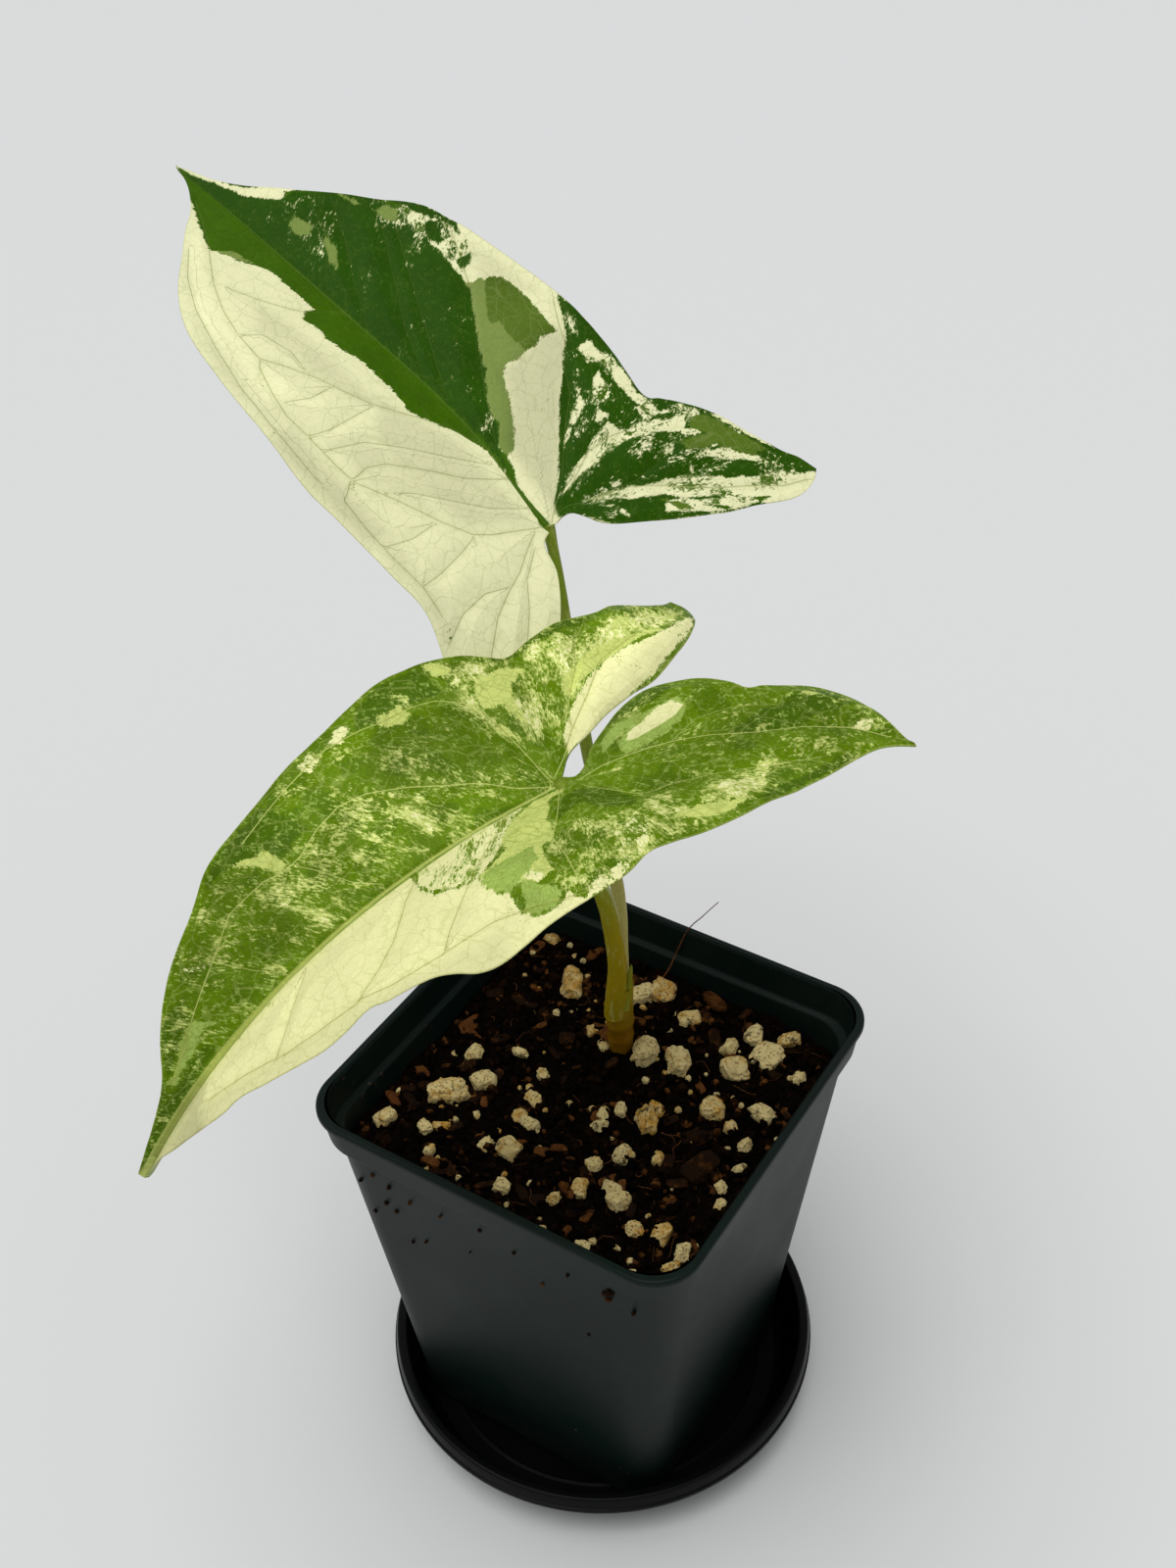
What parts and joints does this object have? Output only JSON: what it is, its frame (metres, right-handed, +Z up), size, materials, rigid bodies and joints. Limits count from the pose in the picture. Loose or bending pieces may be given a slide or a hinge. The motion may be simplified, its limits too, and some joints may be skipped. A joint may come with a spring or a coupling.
{
  "type": "potted arrowhead plant",
  "caption": "Young variegated arrowhead plant with two lobed leaves on slender stalks, in a square tapered nursery pot standing in a round saucer.",
  "frame": {"origin": "centre of the saucer's underside", "axes": "+Z up along the saucer's and pot's axis; X and Y along the sides of the square pot"},
  "size_m": [0.1868, 0.1748, 0.2545],
  "materials": {
    "saucer_plastic": "satin",
    "pot_plastic": "satin",
    "potting_mix": "matte",
    "stem_skin": "satin",
    "stalk_skin": "satin",
    "lower_leaf_skin": "satin",
    "upper_leaf_skin": "satin"
  },
  "bodies": {
    "root": {"saucer": "saucer_plastic", "pot": "pot_plastic", "potting_mix": "potting_mix", "stem": "stem_skin", "lower_stalk": "stalk_skin", "upper_stalk": "stalk_skin", "lower_leaf": "lower_leaf_skin", "upper_leaf": "upper_leaf_skin"}
  },
  "joints": []
}
